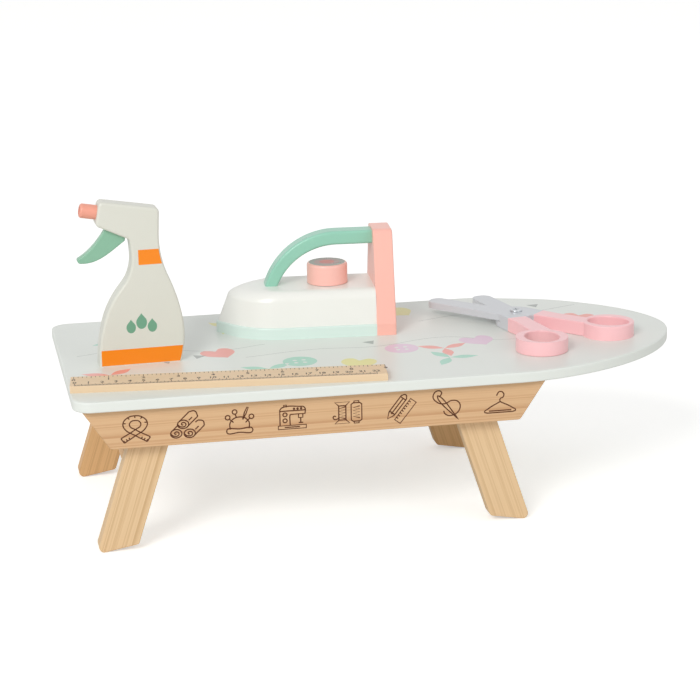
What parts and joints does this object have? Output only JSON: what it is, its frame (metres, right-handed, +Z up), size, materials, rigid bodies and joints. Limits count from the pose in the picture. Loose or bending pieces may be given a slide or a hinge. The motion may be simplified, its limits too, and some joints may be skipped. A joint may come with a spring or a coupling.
{
  "type": "toy ironing board",
  "caption": "Low wooden toy ironing board with a rounded nose and folding legs, carrying a toy iron, spray bottle, scissors and ruler.",
  "frame": {"origin": "bottom centre of the bounding box: under the middle of the board's outline, on the floor that the feet stand on", "axes": "+X from the board's square end toward its rounded nose, +Y from the front rail to the back rail, +Z up"},
  "size_m": [0.476, 0.228, 0.2455],
  "materials": {
    "board_paint": "pale grey-white satin paint on wood, with a pastel print",
    "rail_pine": "planed pine with dark burnt line drawings",
    "leg_pine": "planed pine, clear satin lacquer",
    "dowel_wood": "plain beech",
    "screw_steel": "zinc-plated",
    "aqua_paint": "pale aqua satin paint on wood",
    "white_paint": "warm white satin paint on wood",
    "mint_paint": "mint satin paint on wood",
    "salmon_paint": "salmon satin paint on wood",
    "knob_paint": "salmon satin paint on wood, with a ringed flower dial on top",
    "bottle_paint": "cream satin paint on wood, with orange bands and green drops",
    "trigger_paint": "sage green satin paint on wood",
    "scissors_paint": "pale grey blade and pink grip, satin paint on wood",
    "ruler_wood": "plain pine with printed marks"
  },
  "bodies": {
    "board": {"board_top": "board_paint", "front_rail": "rail_pine", "back_rail": "rail_pine", "rail_dowels": "dowel_wood", "leg_pivot_screws": "screw_steel", "leg_pivot_washers": "screw_steel"},
    "left_legs": {"left_front_leg": "leg_pine", "left_back_leg": "leg_pine", "left_crossbar": "leg_pine", "left_crossbar_dowels": "dowel_wood"},
    "right_legs": {"right_front_leg": "leg_pine", "right_back_leg": "leg_pine", "right_crossbar": "leg_pine", "right_crossbar_dowels": "dowel_wood"},
    "iron": {"iron_soleplate": "aqua_paint", "iron_body": "white_paint", "iron_heel": "salmon_paint", "iron_handle": "mint_paint", "iron_dowels": "dowel_wood"},
    "iron_knob": {"iron_knob": "knob_paint", "iron_knob_screw": "screw_steel", "iron_knob_washer": "screw_steel"},
    "bottle": {"bottle_body": "bottle_paint", "bottle_nozzle": "salmon_paint", "bottle_trigger_pin": "screw_steel"},
    "bottle_trigger": {"bottle_trigger": "trigger_paint"},
    "scissors": {"scissors_upper_half": "scissors_paint", "scissors_pivot_bolt": "screw_steel", "scissors_pivot_nut": "screw_steel"},
    "scissors_lower": {"scissors_lower_half": "scissors_paint"},
    "ruler": {"ruler": "ruler_wood"}
  },
  "joints": [
    {"name": "left_legs_fold", "type": "hinge", "parent": "board", "child": "left_legs", "pos_m": [-0.178, 0, 0.097], "axis": [0, -1, 0], "range_deg": [0, 108]},
    {"name": "right_legs_fold", "type": "hinge", "parent": "board", "child": "right_legs", "pos_m": [0.0565, 0, 0.097], "axis": [0, 1, 0], "range_deg": [0, 108]},
    {"name": "iron_lift", "type": "slide", "parent": "board", "child": "iron", "axis": [0, 0, 1], "range_m": [0, 0.15]},
    {"name": "iron_knob_turn", "type": "hinge", "parent": "iron", "child": "iron_knob", "pos_m": [-0.02259, 0.05311, 0.16], "axis": [0, 0, 1], "continuous": true},
    {"name": "bottle_lift", "type": "slide", "parent": "board", "child": "bottle", "axis": [0, 0, 1], "range_m": [0, 0.15]},
    {"name": "bottle_trigger_squeeze", "type": "hinge", "parent": "bottle", "child": "bottle_trigger", "pos_m": [-0.19615, -0.01392, 0.22798], "axis": [0.0436, -0.999, 0], "range_deg": [0, 12]},
    {"name": "scissors_lift", "type": "slide", "parent": "board", "child": "scissors", "axis": [0, 0, 1], "range_m": [0, 0.15]},
    {"name": "scissors_close", "type": "hinge", "parent": "scissors", "child": "scissors_lower", "pos_m": [0.1224, 0.0197, 0.1255], "axis": [0, 0, 1], "range_deg": [0, 22.5]},
    {"name": "ruler_lift", "type": "slide", "parent": "board", "child": "ruler", "axis": [0, 0, 1], "range_m": [0, 0.15]}
  ]
}
